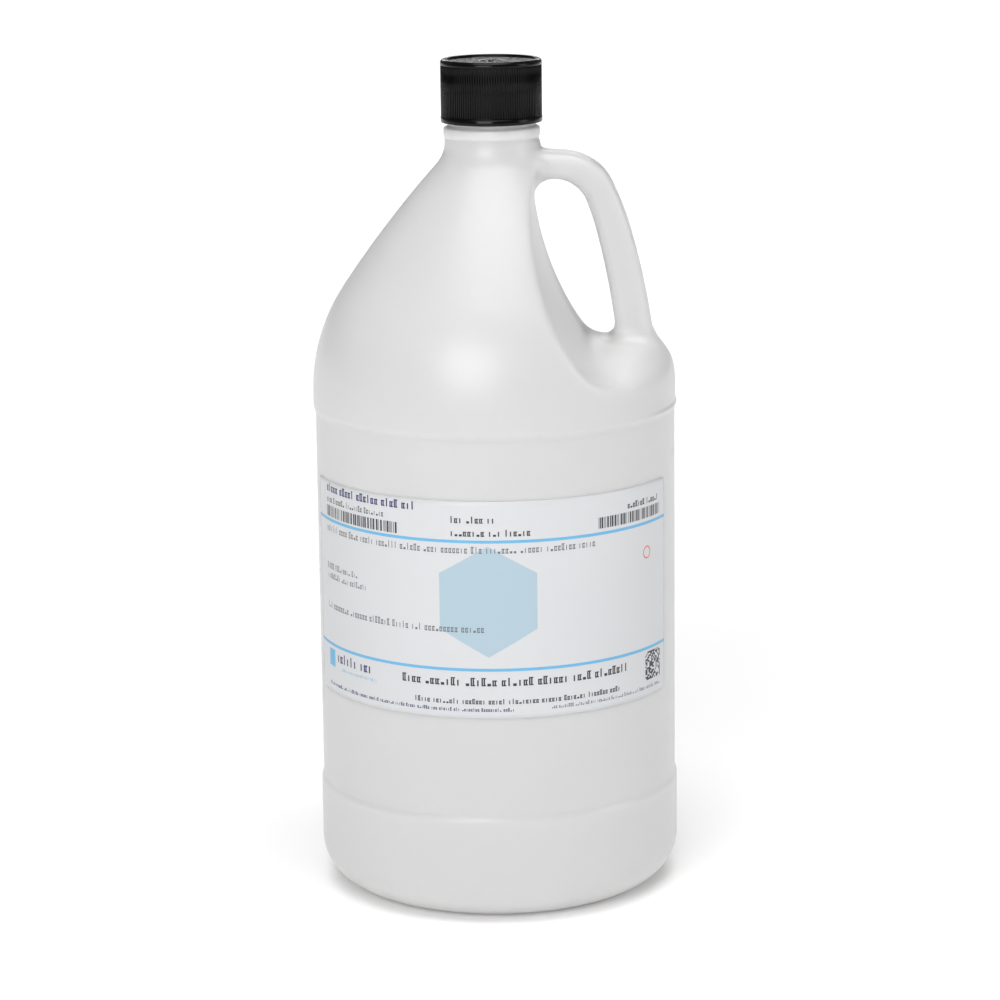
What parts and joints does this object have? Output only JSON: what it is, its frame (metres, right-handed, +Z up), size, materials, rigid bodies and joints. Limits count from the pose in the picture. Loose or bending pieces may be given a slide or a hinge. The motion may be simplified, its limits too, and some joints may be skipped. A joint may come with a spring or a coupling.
{
  "type": "reagent bottle",
  "caption": "Tall round plastic reagent bottle with a hollow side grip handle, wrap label, ribbed black screw cap and two-layer liner.",
  "frame": {"origin": "centre of the ring that the bottle stands on, on the bottle's axis, in the base plane", "axes": "+Z up along the bottle's axis, +X towards the handle, -Y towards the label"},
  "size_m": [0.1483, 0.1482, 0.3397],
  "materials": {
    "bottle_plastic": "natural unpigmented polyethylene, translucent, satin",
    "label_stock": "white coated label stock, printed",
    "cap_plastic": "black moulded plastic with a fine rib",
    "liner_foam": "white closed-cell foam",
    "liner_film": "thin pale sealing film"
  },
  "bodies": {
    "bottle": {"bottle": "bottle_plastic", "label": "label_stock"},
    "liner": {"liner_facing": "liner_film", "liner_backing": "liner_foam"},
    "cap": {"cap": "cap_plastic"}
  },
  "joints": [
    {"name": "cap_rise", "type": "slide", "parent": "bottle", "child": "liner", "axis": [0, 0, 1], "range_m": [0, 0.0254]},
    {"name": "cap_turn", "type": "hinge", "parent": "liner", "child": "cap", "pos_m": [0, 0, 0.3265], "axis": [0, 0, 1], "range_deg": [0, 2160]}
  ],
  "couplings": [
    {"joint": "cap_rise", "follows": "cap_turn", "m_per_rad": 0.00067373}
  ]
}
